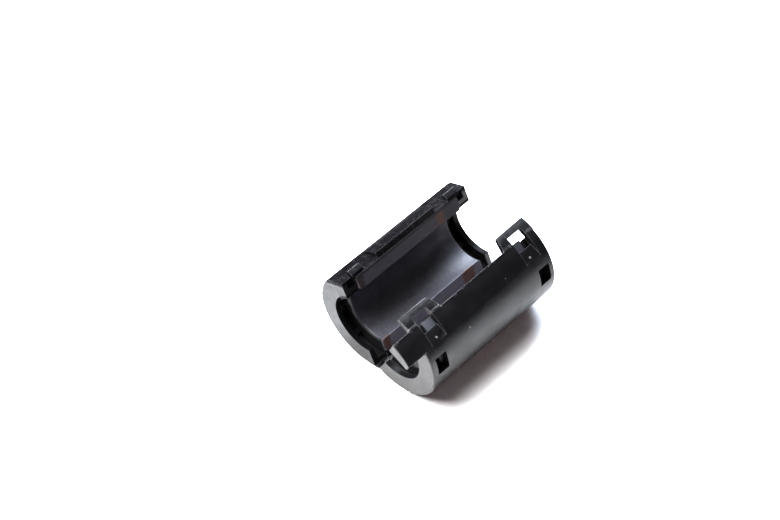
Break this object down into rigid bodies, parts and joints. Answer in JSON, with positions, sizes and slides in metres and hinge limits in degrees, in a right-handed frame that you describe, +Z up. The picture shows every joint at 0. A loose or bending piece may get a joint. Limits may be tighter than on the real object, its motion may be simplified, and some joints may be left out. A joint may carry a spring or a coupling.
{
  "type": "clip-on ferrite bead",
  "caption": "Split ferrite tube in a hinged, clip-on moulded case that clips round a cable to damp high-frequency noise.",
  "frame": {"origin": "on the surface that the open bead lies on, under the centre of its bounding box", "axes": "+X along the bore and hinge, away from the ear; +Y towards the hook half; +Z up"},
  "size_m": [0.0406, 0.0318, 0.0225],
  "materials": {
    "case_plastic": "satin black moulded nylon",
    "ferrite": "fired ferrite, dark grey, ground on the split faces"
  },
  "bodies": {
    "hook_half": {"hook_shell": "case_plastic", "hook_ferrite": "ferrite"},
    "loop_half": {"loop_shell": "case_plastic", "loop_ferrite": "ferrite"}
  },
  "joints": [
    {"name": "hinge", "type": "hinge", "parent": "hook_half", "child": "loop_half", "pos_m": [0.0023, 0, 0.00099], "axis": [1, 0, 0], "range_deg": [-48.3, 125]}
  ]
}
